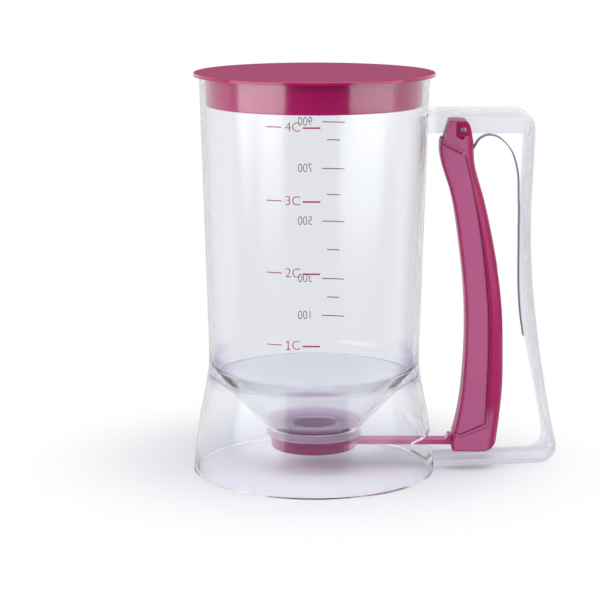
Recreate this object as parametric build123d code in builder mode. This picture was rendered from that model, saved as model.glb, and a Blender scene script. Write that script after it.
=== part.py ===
from build123d import *
from math import cos, radians, tan
import os

# Batter dispenser: a clear jug with a funnel floor and a sliding valve, opened by a
# trigger that hangs in the handle frame. Millimetres, Z up. The origin is on the jug's
# axis, in the plane that the base ring stands on, and the handle points along +X.

# ---------------------------------------------------------------- jug wall
rim_height = 182.5
rim_radius = 52.1
waist_height = 57.0
waist_radius = 48.5
flare_height = 28.6
flare_radius = 52.3
base_radius = 55.8
wall = 2.4
edge_round = 0.8

# ---------------------------------------------------------------- funnel and outlet
floor_height = 22.0
floor_thickness = 2.4
floor_radius = 21.0
funnel_angle = 48.0
funnel_wall = 2.4
inner_round = 4.0
outlet_radius = 10.0
outlet_lead = 1.2
nozzle_wall = 1.6
nozzle_drop = 2.4

# ---------------------------------------------------------------- valve
cap_radius = 20.0
cap_wall = 1.8
cap_floor = 1.25
cap_round = 1.2
cap_fit = 0.35
bead_radius = 0.6
collar_wall = 2.0
collar_drop = 3.1
seal_height = 5.65
seal_radius = 16.0
seal_fit = 0.15
gate_thickness = 2.2
gate_width = 28.0
gate_fit = 0.15
gate_side_fit = 0.3
gate_overlap = 1.5
gate_taper = 4.0
rod_width = 7.4

# ---------------------------------------------------------------- window in the skirt
window_above_rod = 4.9
window_below_rod = 3.6
window_top_width = 70.0
window_slope = 32.0
window_round = 2.0

# ---------------------------------------------------------------- handle frame
handle_below_rim = 15.1
handle_bottom = 2.5
handle_rise = 2.5
handle_foot_reach = 46.2
handle_top_reach = 32.2
web_top_reach = 27.8
web_foot_reach = 39.6
flange_width = 21.0
flange_thickness = 2.8
flange_round = 1.0
web_thickness = 2.5
top_web_depth = 11.0
bottom_web_depth = 5.2
handle_corner = 8.0
web_corner = 1.5
gusset_round = 7.0
root_share = 0.8
lug_radius = 5.0

# ---------------------------------------------------------------- trigger
pin_reach = 15.0
pin_below_top = 9.0
pin_diameter = 3.0
pin_press = 0.02
pin_running = 0.08
pin_stand = 0.5
trigger_angle = 7.1
trigger_width = 17.0
trigger_shell = 2.0
head_gap = 1.8
back_round = 6.5
finger_round = 2.2
heel_reach = 16.5
heel_round = 7.0
heel_top_reach = 19.5
heel_top_rise = 6.0
sole_round = 1.2
head_round = 1.0
head_flat_end = 0.5
web_side_fit = 0.35
seam_gap = 0.3
seam_round = 1.5
seam_rise = 8.0
seam_start = 2.4
seam_step = 0.6
lug_fit = 0.6
rim_width = 1.3
rim_depth = 0.5
lip_set_back = 1.1
lip_height = 1.6
pocket_depth = 1.6
pocket_front = 3.3
pocket_top = 3.7
pocket_heel = 2.8
pocket_foot = 4.6
pocket_tail = 2.5
groove_width = 8.0
groove_depth = 3.2
groove_start = 0.44
groove_foot = 11.0
foot_gap = 0.3
foot_set_back = 2.2
foot_bulge = 0.7
hook_height = 3.2
hook_thickness = 2.2
hook_fit = 0.4
hook_chamfer = 0.9
shoulder_length = 2.6
shoulder_height = 2.2
peg_diameter = 3.0
peg_fit = 0.15
peg_shares = (0.40, 0.75)
peg_short = 0.3
pin_end_round = 0.9

# ---------------------------------------------------------------- return spring
spring_width = 5.6
spring_thickness = 0.5
spring_gap = 0.25
spring_fit = 0.3

# ---------------------------------------------------------------- lid
lid_radius = 54.8
lid_thickness = 1.5
lid_edge_round = 0.6
plug_depth = 13.3
plug_wall = 1.6
plug_fit = 0.3


# ---------------------------------------------------------------- places worked out
wall_draft = (rim_radius - waist_radius) / (rim_height - waist_height)
floor_under = floor_height - floor_thickness
nozzle_radius = outlet_radius + nozzle_wall
collar_inner = cap_radius + cap_fit
collar_radius = collar_inner + collar_wall
collar_bottom = floor_under - collar_drop

gate_top = floor_under - seal_height - gate_fit
gate_bottom = gate_top - gate_thickness
gate_middle = (gate_top + gate_bottom) / 2
cap_inner_floor = gate_bottom - gate_fit
cap_bottom = cap_inner_floor - cap_floor
cap_top = floor_under - seal_fit
cap_inner = cap_radius - cap_wall
channel_width = gate_width + 2 * gate_side_fit

handle_top = rim_height - handle_below_rim
handle_drop = handle_top - handle_bottom
flange_under = handle_top - flange_thickness
pin_x = rim_radius + pin_reach
pin_z = handle_top - pin_below_top
trigger_drop = pin_z - gate_middle
trigger_half = trigger_width / 2
trigger_top = flange_under - head_gap
cavity_half = trigger_half - trigger_shell
back_wall = groove_depth + trigger_shell
swing = radians(trigger_angle)
slot_drop = trigger_drop * (1 / cos(swing) - 1)
foot_face = pin_x - foot_set_back
cavity_top = pin_z - lug_radius - lug_fit - trigger_shell
groove_top = pin_z - groove_start * trigger_drop
groove_end = gate_top + groove_foot
front_x = pin_x - trigger_width
clear_x = pin_x + 2 * trigger_width
sheet_width = 4 * trigger_width


def wall_radius(height):
    """Outer radius of the drafted cup wall at a height."""
    return waist_radius + (height - waist_height) * wall_draft


def bottom_bar(x):
    """Height of the underside of the handle's bottom bar, which rises to its corner."""
    return handle_bottom + handle_rise * (x - base_radius) / (pin_x + handle_foot_reach - base_radius)


def trigger_point(share, offset):
    """Point beside the trigger: a share of the way from pin to rod, offset from the pin."""
    return (pin_x + offset, pin_z - share * trigger_drop)


def bar_point(share, flare, top_reach, foot_reach):
    """Point on the handle's outer bar: a share of the way down, and of its flare outwards."""
    return (pin_x + top_reach + flare * (foot_reach - top_reach), handle_top - share * handle_drop)


def shifted(points, distance):
    """The same points, moved along X."""
    return [(x + distance, z) for x, z in points]


def corner(sketch, x, y):
    """The sketch's vertex nearest to a point."""
    return sketch.vertices().sort_by_distance(Vector(x, y, 0))[0]


# ---------------------------------------------------------------- outlines of the handle
# Each line down the bar: share of the way down, share of the flare from top to foot.
bar_outer_line = [(0.257, -0.079), (0.4815, 0.021), (0.700, 0.35), (0.8605, 0.70)]
web_inner_line = [(0.166, -0.059), (0.348, -0.076), (0.548, 0.008), (0.704, 0.381), (0.860, 0.822)]
bar_outer = [bar_point(*place, handle_top_reach, handle_foot_reach) for place in bar_outer_line]
web_inner = [bar_point(*place, web_top_reach, web_foot_reach) for place in web_inner_line]
bar_top_x = pin_x + handle_top_reach
bar_foot_x = pin_x + handle_foot_reach
web_foot_x = pin_x + web_foot_reach
web_top_corner = (pin_x + web_top_reach, handle_top - top_web_depth)
web_bottom_corner = (web_foot_x, bottom_bar(web_foot_x) + bottom_web_depth)
root_top_x = wall_radius(handle_top) - root_share * wall
root_bottom_x = base_radius - root_share * wall
root_change = (handle_top + handle_bottom) / 2


def rail_outline(inset):
    """Face inside the handle rail's outer line, or inside that line moved in."""
    top = (bar_top_x - inset, handle_top - inset)
    foot = (bar_foot_x - inset, bottom_bar(bar_foot_x) + inset)
    with BuildSketch(mode=Mode.PRIVATE) as outline:
        with BuildLine():
            top_line = Line((0, top[1]), top)
            corner_line = Line(top, (top[0], handle_top - handle_corner - edge_round))
            outer_line = Spline(
                [corner_line @ 1, *shifted(bar_outer, -inset), foot],
                tangents=[(0, -1), (0.15, -1)],
            )
            under_line = Line(foot, (0, bottom_bar(0) + inset))
            Line(under_line @ 1, top_line @ 0)
        make_face()
        fillet(corner(outline, *top), radius=handle_corner - inset)
        fillet(corner(outline, *foot), radius=handle_corner - inset)
    return outline.sketch


with BuildSketch(Plane.XZ) as inside_jug:
    with BuildLine():
        Polyline(
            (-1, handle_top + 1),
            (root_top_x, handle_top + 1),
            (root_top_x, root_change),
            (root_bottom_x, root_change),
            (root_bottom_x, bottom_bar(0) - 1),
            (-1, bottom_bar(0) - 1),
            close=True,
        )
    make_face()

# ---------------------------------------------------------------- handle frame
# A T-section rail: a flange outside and a web inside, both running round the opening.
with BuildPart() as handle_frame:
    with BuildSketch(Plane.XZ):
        add(rail_outline(0))
        add(rail_outline(flange_thickness), mode=Mode.SUBTRACT)
        add(inside_jug.sketch_local, mode=Mode.SUBTRACT)
    extrude(amount=flange_width / 2, both=True)
    flange_sides = handle_frame.faces().filter_by(Axis.Y)
    flange_edges = [edge for edge in flange_sides.edges() if edge.length > wall + edge_round]
    fillet(flange_edges, radius=flange_round)
    with BuildSketch(Plane.XZ) as web_outline:
        add(rail_outline(flange_thickness / 2))
        with BuildLine():
            web_top = Line((-1, web_top_corner[1]), web_top_corner)
            web_line = Spline([web_top @ 1, *web_inner, web_bottom_corner])
            web_low = Line(web_line @ 1, (-1, bottom_bar(-1) + bottom_web_depth))
            Line(web_low @ 1, web_top @ 0)
        make_face(mode=Mode.SUBTRACT)
        fillet(corner(web_outline, *web_top_corner), radius=web_corner)
        fillet(corner(web_outline, *web_bottom_corner), radius=gusset_round)
        add(inside_jug.sketch_local, mode=Mode.SUBTRACT)
        with Locations((pin_x, pin_z)):
            Circle(lug_radius)
            Circle(pin_diameter / 2 + pin_running, mode=Mode.SUBTRACT)
    extrude(amount=web_thickness / 2, both=True)

# ---------------------------------------------------------------- jug
# One clear moulding: cup wall, funnel floor, nozzle, collar, flared skirt and the handle.
slope = tan(radians(funnel_angle))
funnel_drop = funnel_wall / cos(radians(funnel_angle))
cup_inner = waist_radius - wall
seat_radius = cup_inner + (floor_height - floor_radius * slope - waist_height) * wall_draft
seat_radius = seat_radius / (1 - slope * wall_draft)
seat_height = floor_height + (seat_radius - floor_radius) * slope
under_radius = floor_radius + (floor_under - floor_height + funnel_drop) / slope
wall_middle = waist_radius - wall / 2
under_height = floor_under + (wall_middle - under_radius) * slope
bead_height = floor_under - collar_drop / 2
window_top = gate_top + window_above_rod
window_bottom = gate_bottom - window_below_rod
window_foot_width = window_top_width - 2 * (window_top - window_bottom) / tan(radians(window_slope))

with BuildPart() as jug:
    with BuildSketch(Plane.XZ) as jug_section:
        with BuildLine():
            brim = Line((0, rim_height), (rim_radius, rim_height))
            cup_line = Line(brim @ 1, (waist_radius, waist_height))
            flare_line = Spline(
                [cup_line @ 1, (flare_radius, flare_height), (base_radius, 0)],
                tangents=[(-wall_draft, -1), (0.05, -1)],
            )
            ground = Line(flare_line @ 1, (0, 0))
            Line(ground @ 1, brim @ 0)
        make_face()
        with BuildLine():
            skirt_line = Spline(
                [(cup_inner, waist_height), (flare_radius - wall, flare_height), (base_radius - wall, 0)],
                tangents=[(-wall_draft, -1), (0.05, -1)],
            )
            Polyline(skirt_line @ 1, (0, 0), (0, waist_height), skirt_line @ 0)
        make_face(mode=Mode.SUBTRACT)
        with BuildLine():
            Polyline(
                (0, floor_under),
                (under_radius, floor_under),
                (wall_middle, under_height),
                (wall_middle, waist_height),
                (0, waist_height),
                close=True,
            )
        make_face()
        with BuildLine():
            Polyline(
                (0, floor_height),
                (floor_radius, floor_height),
                (seat_radius, seat_height),
                (wall_radius(rim_height) - wall, rim_height),
                (0, rim_height),
                close=True,
            )
        make_face(mode=Mode.SUBTRACT)
        with Locations((collar_inner, collar_bottom)):
            Rectangle(collar_wall, collar_drop + floor_thickness / 2, align=Align.MIN)
        with Locations((collar_inner, bead_height)):
            Circle(bead_radius, mode=Mode.SUBTRACT)
        with Locations((outlet_radius, floor_under - nozzle_drop)):
            Rectangle(nozzle_wall, nozzle_drop + floor_thickness / 2, align=Align.MIN)
        with Locations((0, floor_under - nozzle_drop)):
            Rectangle(outlet_radius, nozzle_drop + floor_thickness, align=Align.MIN, mode=Mode.SUBTRACT)
        inner_corners = [
            corner(jug_section, floor_radius, floor_height),
            corner(jug_section, seat_radius, seat_height),
        ]
        edge_corners = [
            corner(jug_section, rim_radius, rim_height),
            corner(jug_section, rim_radius - wall, rim_height),
            corner(jug_section, base_radius, 0),
            corner(jug_section, base_radius - wall, 0),
        ]
        fillet(inner_corners, radius=inner_round)
        fillet(edge_corners, radius=edge_round)
        fillet(corner(jug_section, cup_inner, under_height - wall), radius=inner_round / 2)
        chamfer(corner(jug_section, outlet_radius, floor_height), length=outlet_lead)
    revolve(axis=Axis.Z)
    with BuildSketch(Plane.YZ.offset(cup_inner - wall)) as window:
        with BuildLine():
            Polyline(
                (-window_top_width / 2, window_top),
                (window_top_width / 2, window_top),
                (window_foot_width / 2, window_bottom),
                (-window_foot_width / 2, window_bottom),
                close=True,
            )
        make_face()
        fillet(window.vertices().group_by(Axis.Y)[-1], radius=window_round / 3)
        fillet(window.vertices().group_by(Axis.Y)[0], radius=window_round)
    extrude(amount=base_radius, mode=Mode.SUBTRACT)
    add(handle_frame.part)


# ---------------------------------------------------------------- lid
# A flat disc with a hollow plug that drops into the rim, tapered like the cup wall.
plug_top = wall_radius(rim_height) - wall - plug_fit
plug_end = wall_radius(rim_height - plug_depth) - wall - plug_fit

with BuildPart() as lid:
    with BuildSketch(Plane.XZ) as lid_section:
        with BuildLine():
            Polyline(
                (0, rim_height),
                (plug_top - plug_wall, rim_height),
                (plug_end - plug_wall, rim_height - plug_depth),
                (plug_end, rim_height - plug_depth),
                (plug_top, rim_height),
                (lid_radius, rim_height),
                (lid_radius, rim_height + lid_thickness),
                (0, rim_height + lid_thickness),
                close=True,
            )
        make_face()
        fillet(corner(lid_section, lid_radius, rim_height + lid_thickness), radius=lid_edge_round)
        fillet(corner(lid_section, plug_end, rim_height - plug_depth), radius=lid_edge_round)
        fillet(corner(lid_section, plug_top - plug_wall, rim_height), radius=plug_wall)
    revolve(axis=Axis.Z)

# ---------------------------------------------------------------- valve cap
# A cup that snaps into the collar, with a channel across it for the gate.
with BuildPart() as valve_cap:
    with BuildSketch(Plane.XY.offset(cap_bottom)):
        Circle(cap_radius)
    extrude(amount=cap_top - cap_bottom)
    fillet(valve_cap.edges().group_by(Axis.Z)[0], radius=cap_round)
    with BuildSketch(Plane.XY.offset(gate_top + gate_fit)):
        Circle(cap_inner)
    extrude(amount=cap_top - gate_top, mode=Mode.SUBTRACT)
    with BuildSketch(Plane.XY.offset(cap_inner_floor)):
        Circle(cap_inner)
        Rectangle(2 * cap_inner, channel_width, mode=Mode.INTERSECT)
        Rectangle(2 * cap_radius, channel_width, align=(Align.MIN, Align.CENTER))
    extrude(amount=gate_thickness + 2 * gate_fit, mode=Mode.SUBTRACT)
    with BuildSketch(Plane.XY.offset(cap_bottom)):
        Circle(outlet_radius)
    extrude(amount=cap_floor, mode=Mode.SUBTRACT)
    with BuildSketch(Plane.XZ):
        with Locations((cap_radius, bead_height)):
            Circle(bead_radius)
    revolve(axis=Axis.Z)

# ---------------------------------------------------------------- valve seal
# A soft ring round the nozzle, whose lip bears on the gate.
with BuildPart() as valve_seal:
    with BuildSketch(Plane.XZ):
        with BuildLine():
            Polyline(
                (outlet_radius, gate_top + gate_fit),
                (seal_radius, gate_top + gate_fit),
                (seal_radius, floor_under),
                (nozzle_radius + seal_fit, floor_under),
                (nozzle_radius + seal_fit, floor_under - nozzle_drop - seal_fit),
                (outlet_radius, floor_under - nozzle_drop - seal_fit),
                close=True,
            )
        make_face()
    revolve(axis=Axis.Z)

# ---------------------------------------------------------------- valve slide
# The gate, its rod out to the trigger, a shoulder outside the foot and a hook inside it.
nose_x = gate_width / 2 - outlet_radius - gate_overlap
gate_end = nose_x + gate_width / 2 - gate_side_fit
rod_start = gate_end + gate_taper
foot_inner = foot_face + trigger_shell
shoulder_end = foot_face - foot_bulge - hook_fit - shoulder_height * tan(swing)
hook_start = foot_inner + hook_fit

with BuildPart() as valve_slide:
    with BuildSketch(Plane.XY.offset(gate_bottom)):
        with Locations((nose_x, 0)):
            Circle(gate_width / 2)
        with BuildLine():
            Polyline(
                (nose_x, gate_width / 2),
                (gate_end, gate_width / 2),
                (rod_start, rod_width / 2),
                (rod_start, -rod_width / 2),
                (gate_end, -gate_width / 2),
                (nose_x, -gate_width / 2),
                close=True,
            )
        make_face()
        with Locations((gate_end, 0)):
            Rectangle(hook_start + hook_thickness - gate_end, rod_width, align=(Align.MIN, Align.CENTER))
    extrude(amount=gate_thickness)
    with BuildSketch(Plane.XZ):
        with BuildLine():
            Polyline(
                (shoulder_end - shoulder_length, gate_middle),
                (shoulder_end - shoulder_length, gate_top),
                (shoulder_end - shoulder_length / 2, gate_top + shoulder_height),
                (shoulder_end, gate_top + shoulder_height),
                (shoulder_end, gate_middle),
                close=True,
            )
        make_face()
        with Locations((hook_start, gate_middle)):
            Rectangle(hook_thickness, gate_thickness / 2 + hook_height, align=Align.MIN)
    extrude(amount=rod_width / 2, both=True)
    hook_end = valve_slide.edges().filter_by(Axis.Y).sort_by(Axis.X)[-2:]
    chamfer(hook_end.sort_by(Axis.Z)[0], length=hook_chamfer)

# ---------------------------------------------------------------- trigger form
# Cross-sections down the trigger: share of the way from pin to rod, front edge, back edge.
trigger_sections = [
    (-0.038, -6.8, 6.5),
    (0.0096, -8.9, 5.6),
    (0.0508, -10.3, 5.2),
    (0.1057, -9.3, 5.6),
    (0.191, -5.3, 9.0),
    (0.285, -2.4, 12.5),
    (0.380, -0.4, 15.4),
    (0.4865, 1.4, 18.0),
    (0.593, 2.3, 19.6),
    (0.696, 2.3, 20.1),
    (0.799, 1.5, 20.2),
    (0.922, -0.9, 18.8),
    (0.960, -foot_set_back, 18.1),
    (1.040, -foot_set_back, 16.4),
]
seam_points = [
    trigger_point(0.077, 1.0),
    trigger_point(0.2285, 6.1),
    trigger_point(0.382, 9.8),
    trigger_point(0.602, 12.8),
    trigger_point(0.813, 12.6),
    trigger_point(0.933, 12.1),
]
seam_tip = trigger_point(0.968, 0.4)
nape_points = [trigger_point(0.008, 3.9), trigger_point(0.058, 5.5), trigger_point(0.096, 7.5)]
heel_x = pin_x + heel_reach
foot_bottom = bottom_bar(heel_x) + bottom_web_depth + foot_gap
foot_floor = gate_bottom - slot_drop - hook_fit
front_points = [trigger_point(share, front) for share, front, back in trigger_sections]
back_points = [trigger_point(share, back) for share, front, back in trigger_sections]


def level_edges(part, height):
    """The part's edges that lie in the plane at a height."""
    spans = [(edge, edge.bounding_box()) for edge in part.edges()]
    return [edge for edge, box in spans if abs(box.min.Z - height) + abs(box.max.Z - height) < 0.1]


with BuildPart() as trigger_form:
    for share, front, back in trigger_sections:
        x_front, height = trigger_point(share, front)
        with BuildSketch(Plane.XY.offset(height)) as section:
            with Locations((x_front, 0)):
                Rectangle(back - front, trigger_width, align=(Align.MIN, Align.CENTER))
            fillet(section.vertices().group_by(Axis.X)[-1], radius=back_round)
            fillet(section.vertices().group_by(Axis.X)[0], radius=finger_round)
    loft()
    with BuildSketch(Plane.XZ) as trigger_ends:
        with BuildLine():
            head_line = Line((front_x, trigger_top), (pin_x - head_flat_end, trigger_top))
            nape = Spline([head_line @ 1, *nape_points], tangents=[(1, -0.05), (0.4, -1)])
            Polyline(
                nape @ 1,
                (clear_x, nape_points[-1][1]),
                (clear_x, gate_top + 2 * heel_top_rise),
                (pin_x + heel_top_reach, gate_top + heel_top_rise),
                (heel_x, foot_bottom),
                (front_x, foot_bottom),
                head_line @ 0,
            )
        make_face()
        fillet(corner(trigger_ends, heel_x, foot_bottom), radius=heel_round)
    extrude(amount=trigger_width, both=True, mode=Mode.INTERSECT)
    fillet(level_edges(trigger_form.part, foot_bottom), radius=sole_round)
    fillet(level_edges(trigger_form.part, trigger_top), radius=head_round)


def hollow(back_line):
    """Face behind the trigger's front wall, as far back as a line of points."""
    with BuildSketch(mode=Mode.PRIVATE) as inside:
        with BuildLine():
            front_side = Spline(shifted(front_points, trigger_shell))
            back_side = Spline(back_line)
            Line(front_side @ 0, back_side @ 0)
            Line(front_side @ 1, back_side @ 1)
        make_face()
        with Locations((pin_x, foot_floor)):
            Rectangle(
                sheet_width,
                cavity_top - foot_floor,
                align=(Align.CENTER, Align.MIN),
                mode=Mode.INTERSECT,
            )
    return inside.sketch


def grip_zone(growth):
    """Face over the finger grip's side of the trigger, grown past the seam."""
    seam_top = (seam_points[0][0] + growth, seam_points[0][1] + growth)
    seam_foot = (seam_points[-1][0] + growth, seam_points[-1][1] - growth)
    with BuildSketch(mode=Mode.PRIVATE) as zone:
        with BuildLine():
            Spline([seam_top, *shifted(seam_points[1:-1], growth), seam_foot])
            Polyline(
                seam_foot,
                (seam_tip[0], seam_tip[1] - growth),
                (front_x, seam_tip[1] + seam_rise - growth),
                (front_x, pin_z - seam_start + growth),
                seam_top,
            )
        make_face()
        fillet(corner(zone, *seam_top), radius=seam_round)
        fillet(corner(zone, *seam_foot), radius=seam_round)
    return zone.sketch


# ---------------------------------------------------------------- return spring
# A flat steel strip: rooted in the trigger, over in an arch, down the handle's outer bar.
contact = spring_gap + spring_thickness / 2
spring_root = trigger_point(0.0933, 3.1)
spring_entry = trigger_point(0.0508, 5.9)
spring_arch = [
    trigger_point(0.0275, 8.5),
    trigger_point(0.0192, 13.5),
    trigger_point(0.0494, 20.4),
    trigger_point(0.1023, 24.4),
    trigger_point(0.2292, 26.2),
]
spring_tip = bar_point(0.634, 0.17, web_top_reach, web_foot_reach)

with BuildPart() as return_spring:
    with BuildSketch(Plane.XZ):
        with BuildLine():
            root_line = Line(spring_root, spring_entry)
            Spline([root_line @ 1, *spring_arch, *shifted([*web_inner[1:3], spring_tip], -contact)])
        trace(line_width=spring_thickness)
    extrude(amount=spring_width / 2, both=True)

# ---------------------------------------------------------------- trigger lever
# The moulded spine with its head and foot, hollow where the finger grip closes it.
head_slot_floor = pin_z - lug_radius - lug_fit

with BuildPart() as trigger_lever:
    add(trigger_form.part)
    with BuildSketch(Plane.XZ):
        add(hollow(shifted(back_points, -back_wall)))
    extrude(amount=cavity_half, both=True, mode=Mode.SUBTRACT)
    with BuildSketch(Plane.XZ):
        add(grip_zone(seam_gap / 2))
    extrude(amount=trigger_width, both=True, mode=Mode.SUBTRACT)
    for side in (1, -1):
        with BuildSketch(Plane.XZ.offset(side * (trigger_half + rim_depth))):
            add(grip_zone(seam_gap / 2 + rim_width))
        extrude(amount=-side * 2 * rim_depth, mode=Mode.SUBTRACT)
    with BuildSketch(Plane.XZ):
        with BuildLine():
            brow = Spline(shifted(front_points[:4], lip_set_back))
            Polyline(brow @ 1, (front_x, (brow @ 1).Y), (front_x, (brow @ 0).Y), brow @ 0)
        make_face()
        add(grip_zone(seam_gap / 2 + lip_height), mode=Mode.SUBTRACT)
    extrude(amount=trigger_width, both=True, mode=Mode.SUBTRACT)
    with BuildSketch(Plane.XZ):
        with BuildLine():
            groove_line = Spline(shifted(back_points, -groove_depth))
            Polyline(groove_line @ 1, (clear_x, gate_bottom), (clear_x, pin_z), groove_line @ 0)
        make_face()
        with Locations((pin_x, groove_end)):
            Rectangle(
                sheet_width,
                groove_top - groove_end,
                align=(Align.CENTER, Align.MIN),
                mode=Mode.INTERSECT,
            )
    extrude(amount=groove_width / 2, both=True, mode=Mode.SUBTRACT)
    with BuildSketch(Plane.XZ):
        with Locations((pin_x, head_slot_floor)):
            Rectangle(sheet_width, handle_top - head_slot_floor, align=(Align.CENTER, Align.MIN))
    extrude(amount=web_thickness / 2 + web_side_fit, both=True, mode=Mode.SUBTRACT)
    for side in (1, -1):
        with BuildSketch(Plane.XZ.offset(side * (trigger_half + pocket_depth))) as pocket:
            with BuildLine():
                Polyline(
                    (pin_x - pocket_front, pin_z + pocket_top),
                    (pin_x - pocket_front, pin_z - pocket_heel),
                    (pin_x, pin_z - pocket_foot),
                    (pin_x + edge_round, pin_z - pocket_tail),
                    (clear_x, pin_z - pocket_tail),
                    (clear_x, pin_z + pocket_top),
                    close=True,
                )
            make_face()
            fillet(pocket.vertices(), radius=edge_round)
        extrude(amount=-side * 2 * pocket_depth, mode=Mode.SUBTRACT)
    with BuildSketch(Plane.XZ):
        with Locations(Location(spring_root, (root_line % 0).get_angle(Vector(1, 0, 0)))):
            Rectangle(
                root_line.length + spring_width,
                spring_thickness + 2 * spring_fit,
                align=(Align.MIN, Align.CENTER),
            )
    extrude(amount=spring_width / 2 + spring_fit, both=True, mode=Mode.SUBTRACT)
    with BuildSketch(Plane.XZ):
        with Locations((pin_x, pin_z)):
            Circle(pin_diameter / 2 + pin_press)
    extrude(amount=trigger_half, both=True, mode=Mode.SUBTRACT)
    with BuildSketch(Plane.YZ.offset(foot_face - trigger_shell)):
        with Locations((0, foot_floor)):
            Rectangle(
                rod_width + 2 * hook_fit,
                gate_top + hook_fit - foot_floor,
                align=(Align.CENTER, Align.MIN),
            )
    extrude(amount=3 * trigger_shell, mode=Mode.SUBTRACT)
    with BuildSketch(Plane.YZ.offset(pin_x)):
        with Locations(*[(0, trigger_point(share, 0)[1]) for share in peg_shares]):
            Circle(peg_diameter / 2 + peg_fit)
    extrude(amount=pin_reach * 2, mode=Mode.SUBTRACT)

# ---------------------------------------------------------------- trigger grip
# The finger grip that closes the lever's front, held by two pegs in the lever's spine.


def trigger_edges(share):
    """Front and back offsets of the trigger's outline at a share of the way down."""
    spans = zip(trigger_sections, trigger_sections[1:])
    above, below = next(pair for pair in spans if pair[0][0] <= share <= pair[1][0])
    mix = (share - above[0]) / (below[0] - above[0])
    return [a + mix * (b - a) for a, b in zip(above[1:], below[1:])]


with BuildPart() as trigger_grip:
    add(trigger_form.part)
    with BuildSketch(Plane.XZ):
        add(grip_zone(-seam_gap / 2))
    extrude(amount=trigger_width, both=True, mode=Mode.INTERSECT)
    with BuildSketch(Plane.XZ):
        add(hollow(shifted(back_points, trigger_shell)))
    extrude(amount=cavity_half, both=True, mode=Mode.SUBTRACT)
    for side in (1, -1):
        with BuildSketch(Plane.XZ.offset(side * (trigger_half + seam_step))):
            add(grip_zone(seam_gap))
            add(grip_zone(-seam_gap / 2 - seam_step), mode=Mode.SUBTRACT)
        extrude(amount=-side * 2 * seam_step, mode=Mode.SUBTRACT)
    for share in peg_shares:
        peg_front, peg_back = trigger_edges(share)
        peg_start = peg_front + trigger_shell / 2
        with BuildSketch(Plane.YZ.offset(pin_x + peg_start)):
            with Locations((0, trigger_point(share, 0)[1])):
                Circle(peg_diameter / 2)
        extrude(amount=peg_back - groove_depth - peg_short - peg_start)

# ---------------------------------------------------------------- pivot pin
with BuildPart() as pivot_pin:
    with BuildSketch(Plane.XZ):
        with Locations((pin_x, pin_z)):
            Circle(pin_diameter / 2)
    extrude(amount=trigger_half - pocket_depth + pin_stand, both=True)
    fillet(pivot_pin.edges().filter_by(GeomType.CIRCLE), radius=pin_end_round)

# ---------------------------------------------------------------- pieces
os.makedirs("parts", exist_ok=True)

jug.part.label = "jug"
export_step(jug.part, "parts/jug.step")
lid.part.label = "lid"
export_step(lid.part, "parts/lid.step")
trigger_lever.part.label = "trigger_lever"
export_step(trigger_lever.part, "parts/trigger_lever.step")
trigger_grip.part.label = "trigger_grip"
export_step(trigger_grip.part, "parts/trigger_grip.step")
pivot_pin.part.label = "pivot_pin"
export_step(pivot_pin.part, "parts/pivot_pin.step")
return_spring.part.label = "return_spring"
export_step(return_spring.part, "parts/return_spring.step")
valve_slide.part.label = "valve_slide"
export_step(valve_slide.part, "parts/valve_slide.step")
valve_cap.part.label = "valve_cap"
export_step(valve_cap.part, "parts/valve_cap.step")
valve_seal.part.label = "valve_seal"
export_step(valve_seal.part, "parts/valve_seal.step")
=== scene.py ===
"""Batter dispenser: finishes, printed scale, spring, stage, lamps and camera round the frame."""

import logging
from collections.abc import Sequence
from dataclasses import dataclass, field
from enum import Enum
from math import cos, radians, sin

import bmesh
import bpy
from bmesh.types import BMesh, BMVert
from bpy.types import ID, Curve, Material, Node, NodeSocket, NodeTree, Object
from mathutils import Matrix, Vector


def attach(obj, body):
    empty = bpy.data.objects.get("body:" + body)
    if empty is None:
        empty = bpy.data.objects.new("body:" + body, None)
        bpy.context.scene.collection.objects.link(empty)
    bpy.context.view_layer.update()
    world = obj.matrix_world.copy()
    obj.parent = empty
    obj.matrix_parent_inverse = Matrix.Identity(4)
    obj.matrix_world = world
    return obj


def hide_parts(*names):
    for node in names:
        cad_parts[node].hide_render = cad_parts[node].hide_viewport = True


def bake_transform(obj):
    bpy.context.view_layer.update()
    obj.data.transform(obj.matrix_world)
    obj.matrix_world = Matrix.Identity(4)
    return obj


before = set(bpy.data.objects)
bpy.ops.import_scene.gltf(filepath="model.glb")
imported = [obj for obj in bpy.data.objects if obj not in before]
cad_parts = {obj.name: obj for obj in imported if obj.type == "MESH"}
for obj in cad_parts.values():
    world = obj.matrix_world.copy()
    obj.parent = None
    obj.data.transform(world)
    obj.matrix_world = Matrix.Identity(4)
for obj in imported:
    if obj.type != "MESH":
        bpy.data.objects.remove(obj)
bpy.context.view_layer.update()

LOG = logging.getLogger("dispenser")
MM = 0.001
WHITE = "#FFFFFF"

# Node settings that several materials share.
COLOURS = {"data_type": "RGBA"}
SMOOTH = {"interpolation_type": "SMOOTHSTEP"}
TIMES = {"operation": "MULTIPLY"}
PLUS = {"operation": "ADD"}
UNSIGNED = {"operation": "ABSOLUTE"}
LENGTH = {"operation": "LENGTH"}


class Side(Enum):
    """Which side of the cup a printed mark is on."""

    FRONT = -1
    BACK = 1


class Axis(Enum):
    """The axis that a moulding's textured faces are square to."""

    SIDE = 1
    TOP = 2


# ---- colours, nodes and objects


def linear(code: str) -> tuple[float, float, float, float]:
    """Turn an sRGB hex code into linear colour.

    Args:
        code: Six hex digits, with or without a leading hash.

    Returns:
        Red, green, blue and an alpha of 1.
    """
    digits = code.lstrip("#")
    parts = [int(digits[i : i + 2], 16) / 255 for i in (0, 2, 4)]
    curve = [c / 12.92 if c <= 0.04045 else ((c + 0.055) / 1.055) ** 2.4 for c in parts]
    return (*curve, 1.0)


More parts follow.
